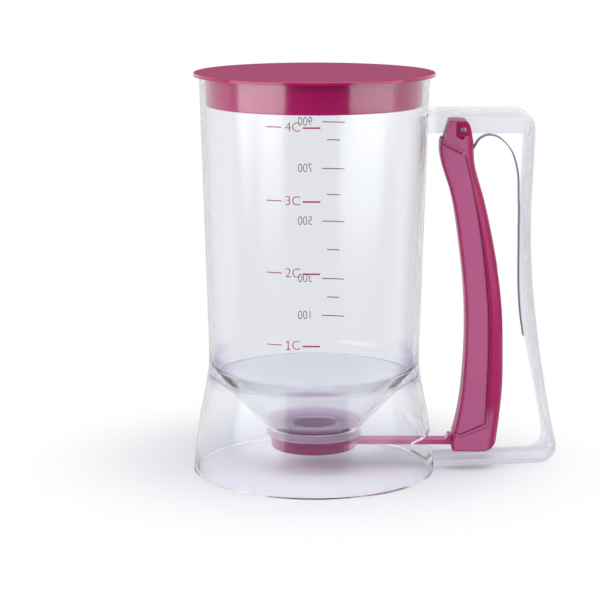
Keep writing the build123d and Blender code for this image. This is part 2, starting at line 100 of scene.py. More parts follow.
def add_node(
    tree: NodeTree,
    kind: str,
    settings: dict | None = None,
    values: dict | None = None,
    links: dict | None = None,
) -> Node:
    """Add one node with its settings, socket values and incoming links.

    A Mix node's sockets go by number: 0 mixes, 2 and 3 are values, and 6 and 7 colours.

    Args:
        tree: The node tree that gets the node.
        kind: The node's type name without its ShaderNode prefix.
        settings: Attributes of the node.
        values: Input sockets' constants, by name or number.
        links: Output sockets that feed input sockets, by name or number.

    Returns:
        The new node.
    """
    node = tree.nodes.new(f"ShaderNode{kind}")
    for name, value in (settings or {}).items():
        setattr(node, name, value)
    for name, value in (values or {}).items():
        node.inputs[name].default_value = value
    for name, socket in (links or {}).items():
        tree.links.new(socket, node.inputs[name])
    return node


def new_material(name: str) -> tuple[Material, NodeTree]:
    """Make an empty node material.

    Args:
        name: The material's name.

    Returns:
        The material and its node tree.
    """
    material = bpy.data.materials.new(name)
    material.use_nodes = True
    material.node_tree.nodes.clear()
    return material, material.node_tree


def add_object(name: str, data: ID) -> Object:
    """Put a mesh, curve, lamp or camera into the scene.

    Args:
        name: The object's name.
        data: What it holds.

    Returns:
        The object, at the origin.
    """
    holder = bpy.data.objects.new(name, data)
    bpy.context.scene.collection.objects.link(holder)
    return holder


def cut_curve(curve: Curve) -> BMesh:
    """Turn a curve or text into a bmesh and remove it.

    Args:
        curve: The curve.

    Returns:
        Its edges or faces.
    """
    holder = add_object(curve.name, curve)
    bpy.context.view_layer.update()
    mesh = bpy.data.meshes.new_from_object(holder)
    shape = bmesh.new()
    shape.from_mesh(mesh)
    bpy.data.objects.remove(holder)
    bpy.data.curves.remove(curve)
    bpy.data.meshes.remove(mesh)
    return shape


def dress(piece: Object, material: Material) -> None:
    """Give a piece one material in every slot it has.

    Args:
        piece: The piece.
        material: Its material.
    """
    if not piece.material_slots:
        piece.data.materials.append(material)
    for slot in piece.material_slots:
        slot.material = material


# ---- finishes


@dataclass(frozen=True)
class MouldedPlastic:
    """Coloured ABS, PP or silicone from a mould: a pigment all through, under a moulded skin.

    Faces square to one axis carry the mould's fine texture, which scatters light; their colour
    is paler with painted sheen for that light. The rest is polished. A band of heights can be
    polished too, and so can faces that lie deeper than a side. Slow waves from shrinkage bend
    what the skin reflects.

    Attributes:
        shade: The pigment where it is darkest, as it varies slowly.
        textured_and_sheen: A textured face's colour, holding the painted sheen of its texture.
        roughness: The roughness of a polished face under its gloss.
        textured_axis: The axis that textured faces are square to.
        square_from: How square a face is where its texture begins, as a cosine.
        square_full: How square it is where the texture is full.
        polish: The strength of the gloss on a polished face.
        grain_mm: The size of the mould's texture, drawn coarse enough to show.
        grain_gloss: How far the texture moves the roughness each way.
        wave_mm: The size of the shrinkage waves.
        specular: How much of its mirror light it keeps, as a moulded skin scatters the rest.
        polished_middle_mm: The height of the polished band's middle.
        polished_half_mm: Half the band's height. Below minus the fade there is no band.
        side_from_mm: How far from the middle plane a textured face lies at least.
    """

    name: str
    colour: str
    shade: str
    textured_and_sheen: str
    roughness: float
    textured_axis: Axis
    square_from: float = 0.75
    square_full: float = 0.97
    textured_roughness: float = 0.55
    polish: float = 1.0
    polish_roughness: float = 0.12
    polish_ior: float = 1.6
    grain_mm: float = 0.5
    grain_depth_mm: float = 0.006
    grain_gloss: float = 0.04
    wave_mm: float = 22.0
    wave_depth_mm: float = 0.05
    ior: float = 1.50
    specular: float = 0.3
    polished_middle_mm: float = 0.0
    polished_half_mm: float = -20.0
    polished_fade_mm: float = 8.0
    side_from_mm: float = -1.0
    side_fade_mm: float = 0.2

    def skin_share(self, tree: NodeTree, coords: Node) -> NodeSocket:
        """Work out how much of the mould's texture, and of its painted sheen, each point has.

        Args:
            tree: The material's node tree.
            coords: Its texture coordinate node.

        Returns:
            A socket from 0, polished, to 1, textured.
        """
        facing = add_node(tree, "SeparateXYZ", links={0: coords.outputs["Normal"]})
        apart = add_node(tree, "SeparateXYZ", links={0: coords.outputs["Object"]})
        square = add_node(
            tree, "Math", settings=UNSIGNED, links={0: facing.outputs[self.textured_axis.value]}
        )
        flat = add_node(
            tree, "MapRange",
            values={"From Min": self.square_from, "From Max": self.square_full},
            links={"Value": square.outputs[0]},
        )
        off_middle = add_node(
            tree, "Math",
            settings={"operation": "SUBTRACT"},
            values={1: self.polished_middle_mm * MM},
            links={0: apart.outputs["Z"]},
        )
        away = add_node(tree, "Math", settings=UNSIGNED, links={0: off_middle.outputs[0]})
        ends = add_node(
            tree, "MapRange",
            settings=SMOOTH,
            values={
                "From Min": self.polished_half_mm * MM,
                "From Max": (self.polished_half_mm + self.polished_fade_mm) * MM,
            },
            links={"Value": away.outputs[0]},
        )
        outward = add_node(tree, "Math", settings=UNSIGNED, links={0: apart.outputs["Y"]})
        outer = add_node(
            tree, "MapRange",
            values={
                "From Min": (self.side_from_mm - self.side_fade_mm) * MM,
                "From Max": self.side_from_mm * MM,
            },
            links={"Value": outward.outputs[0]},
        )
        both = add_node(
            tree, "Math", settings=TIMES, links={0: ends.outputs["Result"], 1: outer.outputs["Result"]}
        )
        share = add_node(
            tree, "Math", settings=TIMES, links={0: flat.outputs["Result"], 1: both.outputs[0]}
        )
        return share.outputs[0]

    def build(self) -> Material:
        """Make the material.

        Returns:
            The new material.
        """
        material, tree = new_material(self.name)
        coords = add_node(tree, "TexCoord")
        place = coords.outputs["Object"]
        skin = self.skin_share(tree, coords)
        grain = add_node(
            tree, "TexNoise",
            values={"Scale": 1 / (self.grain_mm * MM), "Detail": 3.0, "Roughness": 0.6},
            links={"Vector": place},
        )
        wave = add_node(
            tree, "TexNoise",
            values={"Scale": 1 / (self.wave_mm * MM), "Detail": 1.5},
            links={"Vector": place},
        )
        pigment = add_node(
            tree, "Mix",
            settings=COLOURS,
            values={6: linear(self.shade), 7: linear(self.colour)},
            links={0: wave.outputs["Fac"]},
        )
        # Textured faces take a paler colour: painted sheen for the light that their texture scatters.
        tint = add_node(
            tree, "Mix",
            settings=COLOURS,
            values={7: linear(self.textured_and_sheen)},
            links={0: skin, 6: pigment.outputs[2]},
        )
        satin = add_node(
            tree, "MapRange",
            values={"To Min": self.roughness, "To Max": self.textured_roughness},
            links={"Value": skin},
        )
        gloss = add_node(
            tree, "MapRange",
            values={"To Min": -self.grain_gloss, "To Max": self.grain_gloss},
            links={"Value": grain.outputs["Fac"]},
        )
        rough = add_node(
            tree, "Math", settings=PLUS, links={0: satin.outputs["Result"], 1: gloss.outputs["Result"]}
        )
        lacquer = add_node(
            tree, "MapRange", values={"To Min": self.polish, "To Max": 0.0}, links={"Value": skin}
        )
        fine = add_node(
            tree, "Bump",
            values={"Distance": self.grain_depth_mm * MM},
            links={"Height": grain.outputs["Fac"], "Strength": skin},
        )
        slow = add_node(
            tree, "Bump",
            values={"Strength": 1.0, "Distance": self.wave_depth_mm * MM},
            links={"Height": wave.outputs["Fac"], "Normal": fine.outputs["Normal"]},
        )
        shader = add_node(
            tree, "BsdfPrincipled",
            values={
                "IOR": self.ior,
                "Specular IOR Level": self.specular,
                "Coat Roughness": self.polish_roughness,
                "Coat IOR": self.polish_ior,
            },
            links={
                "Base Color": tint.outputs[2],
                "Roughness": rough.outputs[0],
                "Coat Weight": lacquer.outputs["Result"],
                "Normal": slow.outputs["Normal"],
            },
        )
        add_node(tree, "OutputMaterial", links={"Surface": shader.outputs["BSDF"]})
        return material


@dataclass(frozen=True)
class ClearPlastic:
    """Clear styrene-acrylonitrile from a polished mould: faint lilac, with light flow marks.

    The handle's side of the mould is textured, so the handle is frosted and the cup clear.
    The walls are thin, so they bend light as little as a sheet does, and their shine comes
    from the gloss over them. Lamps pass them, because what they hold is lit through them.

    Attributes:
        colour: What the cup and the skirt pass.
        thick: What the thick handle passes.
        lamp_tint: What the lamps' light keeps on its way through.
        frosted: The handle's roughness.
        frost_from_mm: How far along the handle's axis the frost begins.
        skirt_haze: How milky the skirt is.
        skirt_top_mm: The height of the waist, above which the cup is clear.
        haze_fade_mm: How far the skirt's haze fades below it.
        tint_fade_mm: How far the ring's tint fades. The nozzle's fades in half of that.
        ring_tint: The colour of the funnel's thick root where it is seen edge-on.
        edge_from: How far from face-on this tint begins.
        nozzle_painted_light: Painted light: the valve's colour laid on the clear nozzle round it.
        nozzle_mm: The nozzle's outer radius.
        nozzle_top_mm: The height where it opens into the funnel.
        flow_mm: The size of the flow marks.
        flow_stretch: How fast they change upwards, as a share.
        flow_gloss: How far they move the roughness each way, as a share.
        frost_mm: The size of the frost's texture, drawn coarse enough to show.
        ior: The refractive index of a thin wall, where solid plastic has 1.57.
        polish: The strength of the walls' gloss.
    """

    name: str
    colour: str
    thick: str
    lamp_tint: str
    roughness: float
    frosted: float
    frost_from_mm: float
    frost_full_mm: float
    skirt_haze: float = 0.015
    handle_haze: float = 0.10
    skirt_top_mm: float = 57.0
    haze_fade_mm: float = 8.0
    tint_fade_mm: float = 5.0
    ring_tint: str = "#C4C0DA"
    ring_foot_mm: float = 45.0
    ring_top_mm: float = 53.0
    edge_from: float = 0.3
    edge_full: float = 0.8
    nozzle_painted_light: str = "#C89CC2"
    nozzle_haze: float = 0.28
    nozzle_mm: float = 21.0
    nozzle_top_mm: float = 30.0
    flow_mm: float = 30.0
    flow_stretch: float = 0.35
    flow_depth_mm: float = 0.04
    flow_gloss: float = 0.4
    frost_mm: float = 0.6
    frost_depth_mm: float = 0.003
    ior: float = 1.07
    polish: float = 0.8
    polish_roughness: float = 0.16
    polish_ior: float = 1.5

    def clearness(
        self, tree: NodeTree, height: NodeSocket, frost: NodeSocket, nozzle: NodeSocket
    ) -> NodeSocket:
        """Work out how much light goes through, as the moulding is milkier low down.

        Args:
            tree: The material's node tree.
            height: The socket that gives the height.
            frost: The socket that gives the handle's share.
            nozzle: The socket that gives the nozzle's share.

        Returns:
            A socket from 0, milky, to 1, clear.
        """
        body = add_node(
            tree, "MapRange",
            settings=SMOOTH,
            values={
                "From Min": (self.skirt_top_mm - self.haze_fade_mm) * MM,
                "From Max": self.skirt_top_mm * MM,
                "To Min": 1 - self.skirt_haze,
            },
            links={"Value": height},
        )
        share = add_node(
            tree, "Mix", values={3: 1 - self.handle_haze}, links={0: frost, 2: body.outputs["Result"]}
        )
        whole = add_node(
            tree, "Mix", values={3: 1 - self.nozzle_haze}, links={0: nozzle, 2: share.outputs[0]}
        )
        return whole.outputs[0]

    def within(
        self, tree: NodeTree, marks: Sequence[tuple[NodeSocket, float, float]]
    ) -> NodeSocket:
        """Work out how far a point lies within several smooth limits at once.

        Args:
            tree: The material's node tree.
            marks: For each limit what it reads, the mark that gives 0 and the one that gives 1.

        Returns:
            A socket from 0, outside one of them, to 1, inside them all.
        """
        share = None
        for value, start, end in marks:
            limit = add_node(
                tree, "MapRange",
                settings=SMOOTH,
                values={"From Min": start, "From Max": end},
                links={"Value": value},
            ).outputs["Result"]
            if share is not None:
                both = add_node(tree, "Math", settings=TIMES, links={0: share, 1: limit})
                limit = both.outputs[0]
            share = limit
        return share

    def ring_share(self, tree: NodeTree, apart: Node) -> NodeSocket:
        """Work out where the funnel's thick root is seen edge-on, which shows lilac.

        Args:
            tree: The material's node tree.
            apart: The node that gives the place's parts.

        Returns:
            A socket from 0, untinted, to 1, lilac.
        """
        foot = self.ring_foot_mm * MM
        top = self.ring_top_mm * MM
        side = self.frost_from_mm * MM
        fade = self.tint_fade_mm * MM
        facing = add_node(tree, "LayerWeight").outputs["Facing"]
        return self.within(tree, (
            (facing, self.edge_from, self.edge_full),
            (apart.outputs["Z"], foot - fade, foot),
            (apart.outputs["Z"], top + fade, top),
            (apart.outputs["X"], side + fade, side),
        ))

    def nozzle_share(self, tree: NodeTree, place: NodeSocket, apart: Node) -> NodeSocket:
        """Work out where the nozzle stands round the valve, whose colour is painted on it as light.

        Args:
            tree: The material's node tree.
            place: The socket that gives the place.
            apart: The node that gives the place's parts.

        Returns:
            A socket from 0, elsewhere, to 1, the nozzle.
        """
        flat = add_node(
            tree, "VectorMath", settings=TIMES, values={1: (1.0, 1.0, 0.0)}, links={0: place}
        )
        radius = add_node(tree, "VectorMath", settings=LENGTH, links={0: flat.outputs[0]})
        wall = self.nozzle_mm * MM
        top = self.nozzle_top_mm * MM
        fade = self.tint_fade_mm * MM / 2
        return self.within(tree, (
            (radius.outputs["Value"], wall + fade, wall),
            (apart.outputs["Z"], top + fade, top),
        ))

    def build(self) -> Material:
        """Make the material.

        Returns:
            The new material.
        """
        material, tree = new_material(self.name)
        place = add_node(tree, "TexCoord").outputs["Object"]
        apart = add_node(tree, "SeparateXYZ", links={0: place})
        frost = self.within(
            tree, ((apart.outputs["X"], self.frost_from_mm * MM, self.frost_full_mm * MM),)
        )
        stretch = add_node(
            tree, "Mapping", values={"Scale": (1.0, 1.0, self.flow_stretch)}, links={"Vector": place}
        )
        flow = add_node(
            tree, "TexNoise",
            values={"Scale": 1 / (self.flow_mm * MM), "Detail": 2.0, "Roughness": 0.4},
            links={"Vector": stretch.outputs["Vector"]},
        )
        haze = add_node(
            tree, "MapRange",
            values={
                "To Min": self.roughness * (1 - self.flow_gloss),
                "To Max": self.roughness * (1 + self.flow_gloss),
            },
            links={"Value": flow.outputs["Fac"]},
        )
        rough = add_node(
            tree, "Mix", values={3: self.frosted}, links={0: frost, 2: haze.outputs["Result"]}
        )
        tint = add_node(
            tree, "Mix",
            settings=COLOURS,
            values={6: linear(self.colour), 7: linear(self.thick)},
            links={0: frost},
        )
        depth = add_node(
            tree, "Mix",
            settings=COLOURS,
            values={7: linear(self.ring_tint)},
            links={0: self.ring_share(tree, apart), 6: tint.outputs[2]},
        )
        nozzle = self.nozzle_share(tree, place, apart)
        # Painted light: the nozzle is tinted with the valve's colour, as if lit by it.
        painted_valve_light = add_node(
            tree, "Mix",
            settings=COLOURS,
            values={7: linear(self.nozzle_painted_light)},
            links={0: nozzle, 6: depth.outputs[2]},
        )
        bump = add_node(
            tree, "Bump",
            values={"Strength": 1.0, "Distance": self.flow_depth_mm * MM},
            links={"Height": flow.outputs["Fac"]},
        )
        grit = add_node(
            tree, "TexNoise",
            values={"Scale": 1 / (self.frost_mm * MM), "Detail": 2.0},
            links={"Vector": place},
        )
        skin = add_node(
            tree, "Bump",
            values={"Distance": self.frost_depth_mm * MM},
            links={
                "Height": grit.outputs["Fac"],
                "Strength": frost,
                "Normal": bump.outputs["Normal"],
            },
        )
        glass = add_node(
            tree, "BsdfPrincipled",
            values={
                "IOR": self.ior,
                "Coat Weight": self.polish,
                "Coat Roughness": self.polish_roughness,
                "Coat IOR": self.polish_ior,
            },
            links={
                "Base Color": painted_valve_light.outputs[2],
                "Roughness": rough.outputs[0],
                "Transmission Weight": self.clearness(tree, apart.outputs["Z"], frost, nozzle),
                "Normal": skin.outputs["Normal"],
            },
        )
        through = add_node(tree, "BsdfTransparent", values={"Color": linear(self.lamp_tint)})
        path = add_node(tree, "LightPath")
        surface = add_node(
            tree, "MixShader",
            links={
                0: path.outputs["Is Shadow Ray"],
                1: glass.outputs["BSDF"],
                2: through.outputs["BSDF"],
            },
        )
        add_node(tree, "OutputMaterial", links={"Surface": surface.outputs["Shader"]})
        return material


@dataclass(frozen=True)
class Steel:
    """Cold-rolled or drawn steel: a grey metal with the fine lines of its rolls or its die.

    Attributes:
        colour: The lines' crests.
        dark: Their valleys.
        gloss_low: The crests' share of the roughness.
        gloss_high: The valleys' share of it.
        line_mm: The lines' spacing, drawn coarse enough to show.
        metallic: How bare the metal is, as an oiled or oxidised skin dulls it.
        along: How fast the lines change along each axis, as a share.
    """

    name: str
    colour: str
    dark: str
    roughness: float
    gloss_low: float = 0.8
    gloss_high: float = 1.3
    line_mm: float = 0.4
    line_depth_mm: float = 0.004
    metallic: float = 0.7
    along: tuple[float, float, float] = (1.0, 1.0, 1.0)

    def build(self) -> Material:
        """Make the material.

        Returns:
            The new material.
        """
        material, tree = new_material(self.name)
        place = add_node(tree, "TexCoord").outputs["Object"]
        stretch = add_node(tree, "Mapping", values={"Scale": self.along}, links={"Vector": place})
        lines = add_node(
            tree, "TexNoise",
            values={"Scale": 1 / (self.line_mm * MM), "Detail": 2.0},
            links={"Vector": stretch.outputs["Vector"]},
        )
        tint = add_node(
            tree, "Mix",
            settings=COLOURS,
            values={6: linear(self.dark), 7: linear(self.colour)},
            links={0: lines.outputs["Fac"]},
        )
        gloss = add_node(
            tree, "MapRange",
            values={
                "To Min": self.roughness * self.gloss_low,
                "To Max": self.roughness * self.gloss_high,
            },
            links={"Value": lines.outputs["Fac"]},
        )
        bump = add_node(
            tree, "Bump",
            values={"Strength": 1.0, "Distance": self.line_depth_mm * MM},
            links={"Height": lines.outputs["Fac"]},
        )
        shader = add_node(
            tree, "BsdfPrincipled",
            values={"Metallic": self.metallic},
            links={
                "Base Color": tint.outputs[2],
                "Roughness": gloss.outputs["Result"],
                "Normal": bump.outputs["Normal"],
            },
        )
        add_node(tree, "OutputMaterial", links={"Surface": shader.outputs["BSDF"]})
        return material


@dataclass(frozen=True)
class PadInk:
    """Pad-printed ink: a thin matt film whose cover varies a little from the pad.

    Attributes:
        thin: The ink's colour where its cover is thin.
        speckle_mm: The size of the thin places.
    """

    name: str
    colour: str
    thin: str
    speckle_mm: float = 0.5
    roughness: float = 0.6

    def build(self) -> Material:
        """Make the material.

        Returns:
            The new material.
        """
        material, tree = new_material(self.name)
        place = add_node(tree, "TexCoord").outputs["Object"]
        speckle = add_node(
            tree, "TexNoise",
            values={"Scale": 1 / (self.speckle_mm * MM), "Detail": 2.0},
            links={"Vector": place},
        )
        tint = add_node(
            tree, "Mix",
            settings=COLOURS,
            values={6: linear(self.thin), 7: linear(self.colour)},
            links={0: speckle.outputs["Fac"]},
        )
        shader = add_node(
            tree, "BsdfPrincipled",
            values={"Roughness": self.roughness},
            links={"Base Color": tint.outputs[2]},
        )
        add_node(tree, "OutputMaterial", links={"Surface": shader.outputs["BSDF"]})
        return material


# ---- printed scale


@dataclass
class PrintedScale:
    """Cup marks on the cup's front and millilitre marks on its back, as films of ink.

    Sizes are in millimetres. A place is how far right of the cup's middle a mark goes, as
    seen from its own side.

    Attributes:
        waist_radius: The wall's outer radius at the waist.
        rim_radius: The wall's outer radius at the rim.
        film: The ink's thickness, drawn thick enough to show.
        lift: How far its middle stands off the wall.
        cup_marks: The cup marks' words and heights.
        cup_letter: The size of their typeface.
        dash_width: The width of the dash before the words.
        rule_width: The width of the heavy line after them.
        rule_drop: How far it lies below the words' middle.
        volume_marks: The millilitre marks' words and heights.
        volume_letter: The size of their typeface.
        volume_stretch: How much taller than usual it is.
        half_marks: The heights of the short lines between them.
        letter_trim: How much the letters are thinned, as a share of the typeface's size.
        one_place: The figure one's place. Its sizes are shares of the typeface's size.
        one_flag: Its flag's place from the stem, and its length.
        one_gap: How far the letter after it moves over.
        line_steps: Into how many lengths a line is cut, so that it bends.
        weld: How near two corners of a letter are one.
    """

    waist_height: float = 57.0
    waist_radius: float = 48.5
    rim_height: float = 182.5
    rim_radius: float = 52.1
    film: float = 0.03
    lift: float = 0.015
    thin_line: float = 0.45
    thick_line: float = 0.75
    cup_marks: tuple[tuple[str, float], ...] = (
        ("4C", 164.3), ("3C", 132.2), ("2C", 100.3), ("1C", 67.9),
    )
    cup_letter: float = 5.9
    cup_place: float = -9.3
    dash_width: float = 7.0
    dash_place: float = -17.9
    rule_width: float = 7.6
    rule_place: float = -1.2
    rule_drop: float = 0.2
    volume_marks: tuple[tuple[str, float], ...] = (
        ("900", 156.0), ("700", 133.7), ("500", 108.3), ("300", 80.4), ("100", 62.3),
    )
    volume_letter: float = 4.9
    volume_stretch: float = 1.25
    volume_place: float = 4.4
    volume_line: float = 11.0
    half_marks: tuple[float, ...] = (147.5, 121.2, 94.5, 71.4)
    half_line: float = 6.2
    line_place: float = -9.3
    letter_trim: float = 0.012
    one_place: float = -0.36
    one_tall: float = 0.70
    one_foot: float = 0.36
    one_flag: tuple[float, float, float] = (-0.09, 0.27, 0.2)
    flag_turn: float = 38.0
    one_gap: float = 0.24
    letter_steps: int = 6
    line_steps: int = 12
    weld: float = 1e-4
    pieces: list[Object] = field(default_factory=list)

    def wall_radius(self, height: float) -> float:
        """Give the cup wall's outer radius in millimetres at a height."""
        rise = (height - self.waist_height) / (self.rim_height - self.waist_height)
        return self.waist_radius + rise * (self.rim_radius - self.waist_radius)

    def text_mesh(self, words: str, letter: float) -> BMesh:
        """Cut letters from the built-in typeface as flat faces.

        Args:
            words: The text.
            letter: The typeface's size in millimetres.

        Returns:
            A bmesh in the XY plane, centred on its origin.
        """
        curve = bpy.data.curves.new("letters", "FONT")
        curve.body = words
        curve.size = letter
        curve.offset = -self.letter_trim * letter
        curve.align_x = "CENTER"
        curve.align_y = "CENTER"
        curve.resolution_u = self.letter_steps
        flat = cut_curve(curve)
        bmesh.ops.remove_doubles(flat, verts=flat.verts, dist=self.weld)
        return flat

    def one_mesh(self, letter: float, stroke: float) -> BMesh:
        """Make "1C" with a figure that has a flag and a foot.

        Args:
            letter: The typeface's size in millimetres.
            stroke: The figure's line width in millimetres.

        Returns:
            A bmesh in the XY plane, centred on its origin.
        """
        flat = self.text_mesh("C", letter)
        bmesh.ops.translate(flat, vec=(self.one_gap * letter, 0.0, 0.0), verts=flat.verts)
        left = self.one_place * letter
        tall = self.one_tall * letter
        foot = (stroke - tall) / 2
        flag_x, flag_y, flag_long = (share * letter for share in self.one_flag)
        # The middle, width, height and turn of the stem, the foot and the flag.
        strokes = (
            (left, 0.0, stroke, tall, 0.0),
            (left, foot, self.one_foot * letter, stroke, 0.0),
            (left + flag_x, flag_y, flag_long, stroke, self.flag_turn),
        )
        for x, y, width, height, turn in strokes:
            made = bmesh.ops.create_grid(flat, x_segments=1, y_segments=1, size=0.5)["verts"]
            bmesh.ops.scale(flat, vec=(width, height, 1.0), verts=made)
            bmesh.ops.rotate(flat, verts=made, matrix=Matrix.Rotation(radians(turn), 3, "Z"))
            bmesh.ops.translate(flat, vec=(x, y, 0.0), verts=made)
        return flat

    def bar_mesh(self, width: float, height: float) -> BMesh:
        """Make a flat bar, cut across so that it can bend.

        Args:
            width: Its width in millimetres.
            height: Its height.

        Returns:
            A bmesh in the XY plane, centred on its origin.
        """
        flat = bmesh.new()
        bmesh.ops.create_grid(flat, x_segments=self.line_steps, y_segments=1, size=0.5)
        bmesh.ops.scale(flat, vec=(width, height, 1.0), verts=flat.verts)
        return flat

    def wrap(self, flat: BMesh, x: float, height: float, side: Side) -> None:
        """Lay a flat shape on the wall.

        Args:
            flat: The shape in the XY plane, in millimetres.
            x: How far right of the cup's middle it goes, as seen from that side.
            height: Its middle's height.
            side: The side of the cup.
        """
        for vertex in flat.verts:
            level = height + vertex.co.y
            radius = self.wall_radius(level) + self.lift
            turn = (x + vertex.co.x) / radius
            vertex.co = Vector((
                -side.value * radius * sin(turn) * MM,
                side.value * radius * cos(turn) * MM,
                level * MM,
            ))

    def thicken(self, flat: BMesh, name: str) -> None:
        """Turn a laid shape into a closed film, a piece of its own.

        Args:
            flat: The shape on the wall.
            name: The piece's name.
        """
        for face in flat.faces:
            face.normal_update()
            middle = face.calc_center_median()
            if face.normal.dot(Vector((middle.x, middle.y, 0.0))) < 0:
                face.normal_flip()
        bmesh.ops.solidify(flat, geom=flat.faces[:], thickness=-self.film * MM)
        bmesh.ops.recalc_face_normals(flat, faces=flat.faces)
        mesh = bpy.data.meshes.new(name)
        flat.to_mesh(mesh)
        flat.free()
        self.pieces.append(add_object(name, mesh))

    def mark(self, name: str, flat: BMesh, x: float, height: float, side: Side) -> None:
        """Lay one shape on the wall as a piece of its own.

        Args:
            name: What the piece is called after its print_ prefix.
            flat: The shape in the XY plane.
            x: Its place.
            height: Its middle's height.
            side: The side of the cup.
        """
        self.wrap(flat, x, height, side)
        self.thicken(flat, f"print_{name}")

    def build(self) -> None:
        """Print both scales: dash, words and heavy line for cups, words and line for millilitres."""
        for words, height in self.cup_marks:
            dash = self.bar_mesh(self.dash_width, self.thin_line)
            self.mark(f"{words}_dash", dash, self.dash_place, height, Side.FRONT)
            if words.startswith("1"):
                drawn = self.one_mesh(self.cup_letter, self.thin_line)
            else:
                drawn = self.text_mesh(words, self.cup_letter)
            self.mark(words, drawn, self.cup_place, height, Side.FRONT)
            rule = self.bar_mesh(self.rule_width, self.thick_line)
            self.mark(f"{words}_line", rule, self.rule_place, height - self.rule_drop, Side.FRONT)
        for words, height in self.volume_marks:
            drawn = self.text_mesh(words, self.volume_letter)
            bmesh.ops.scale(drawn, vec=(1.0, self.volume_stretch, 1.0), verts=drawn.verts)
            self.mark(words, drawn, self.volume_place, height, Side.BACK)
            line = self.bar_mesh(self.volume_line, self.thin_line)
            self.mark(f"{words}_line", line, self.line_place, height, Side.BACK)
        for height in self.half_marks:
            line = self.bar_mesh(self.half_line, self.thin_line)
            self.mark(f"half_{round(height)}", line, self.line_place, height, Side.BACK)

    def finish(self, ink: Material) -> None:
        """Ink the marks and fix them to the jug.

        Args:
            ink: Their material.
        """
        for piece in self.pieces:
            dress(piece, ink)
            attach(piece, "jug_body")


# ---- return spring


@dataclass
class ReturnSpring:
    """The steel strip from the trigger's back, over in an arch and down the handle's bar.

    Sizes are in millimetres.

    Attributes:
        pin: The trigger pin's place along and up.
        route: The strip's middle line, from the pin.
        steps: Into how many edges each stretch of the route is cut.
        edge_round: The size of its rounded long edges.
        edge_turn: The least turn in degrees that makes a long edge.
        smooth_turn: The least turn in degrees that shows as a crease.
        bend_start: Where it stops following the trigger, in metres. Not used.
        bend_end: Where it is held by the handle. Not used.
    """

    width: float = 5.6
    thickness: float = 0.5
    pin: tuple[float, float] = (67.1, 158.4)
    route: tuple[tuple[float, float], ...] = (
        (3.1, -13.6), (5.9, -7.4), (8.5, -4.0), (13.5, -2.8), (20.4, -7.2), (24.4, -14.9),
        (26.2, -33.4), (26.4, -48.4), (27.4, -81.4), (29.3, -95.5),
    )
    steps: int = 12
    edge_round: float = 0.12
    edge_cuts: int = 2
    edge_turn: float = 60.0
    smooth_turn: float = 35.0
    bend_start: tuple[float, float, float] = (0.0735, 0.0, 0.1515)
    bend_end: tuple[float, float, float] = (0.0925, 0.0, 0.1400)

    def centre_line(self) -> BMesh:
        """Lay a smooth curve through the route and cut it into short edges.

        Returns:
            A bmesh of edges at the strip's near side.
        """
        curve = bpy.data.curves.new("strip_line", "CURVE")
        curve.dimensions = "3D"
        curve.resolution_u = self.steps
        spline = curve.splines.new("BEZIER")
        spline.bezier_points.add(len(self.route) - 1)
        pin_x, pin_z = self.pin
        for point, (x, z) in zip(spline.bezier_points, self.route):
            point.co = Vector(((pin_x + x) * MM, -self.width * MM / 2, (pin_z + z) * MM))
            point.handle_left_type = "AUTO"
            point.handle_right_type = "AUTO"
        return cut_curve(curve)

    def build(self) -> Object:
        """Make the strip: its edge line, drawn out to its width, then given its thickness.

        Returns:
            The piece.
        """
        strip = self.centre_line()
        drawn = bmesh.ops.extrude_edge_only(strip, edges=strip.edges[:])
        far_edge = [item for item in drawn["geom"] if isinstance(item, BMVert)]
        bmesh.ops.translate(strip, vec=(0.0, self.width * MM, 0.0), verts=far_edge)
        bmesh.ops.recalc_face_normals(strip, faces=strip.faces)
        strip.normal_update()
        for vertex in strip.verts:
            vertex.co += vertex.normal * self.thickness * MM / 2
        bmesh.ops.solidify(strip, geom=strip.faces[:], thickness=self.thickness * MM)
        bmesh.ops.recalc_face_normals(strip, faces=strip.faces)
        sharp = radians(self.edge_turn)
        bmesh.ops.bevel(
            strip,
            geom=[edge for edge in strip.edges if edge.calc_face_angle(0.0) > sharp],
            offset=self.edge_round * MM,
            offset_type="OFFSET",
            segments=self.edge_cuts,
            profile=0.5,
            affect="EDGES",
            material=-1,
        )
        mesh = bpy.data.meshes.new("spring_strip")
        strip.to_mesh(mesh)
        strip.free()
        mesh.polygons.foreach_set("use_smooth", [True] * len(mesh.polygons))
        mesh.set_sharp_from_angle(angle=radians(self.smooth_turn))
        return add_object("spring_strip", mesh)

    def finish(self, piece: Object, steel: Material) -> None:
        """Dress the strip, bake its place into its mesh and hide the CAD spring in its stead.

        Args:
            piece: The strip.
            steel: Its material.
        """
        dress(piece, steel)
        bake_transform(piece)
        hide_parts("return_spring")


# ---- stage


@dataclass(frozen=True)
class SoftBox:
    """A soft box that faces the object.

    Attributes:
        turn: Degrees round from the camera's side, positive to the right.
        rise: Degrees above what it faces.
        away: Metres from it.
        width: Metres across.
        height: Metres high.
    """

    name: str
    turn: float
    rise: float
    away: float
    width: float
    height: float
    watts: float

    def build(self, aim: Vector) -> None:
        """Set up the lamp.

        Args:
            aim: What it faces.
        """
        data = bpy.data.lights.new(self.name, "AREA")
        data.shape = "RECTANGLE"
        data.size = self.width
        data.size_y = self.height
        data.energy = self.watts
        holder = add_object(self.name, data)
        turn = radians(self.turn)
        rise = radians(self.rise)
        ray = Vector((sin(turn) * cos(rise), -cos(turn) * cos(rise), sin(rise)))
        holder.location = aim + ray * self.away
        holder.rotation_euler = (-ray).to_track_quat("-Z", "Y").to_euler()


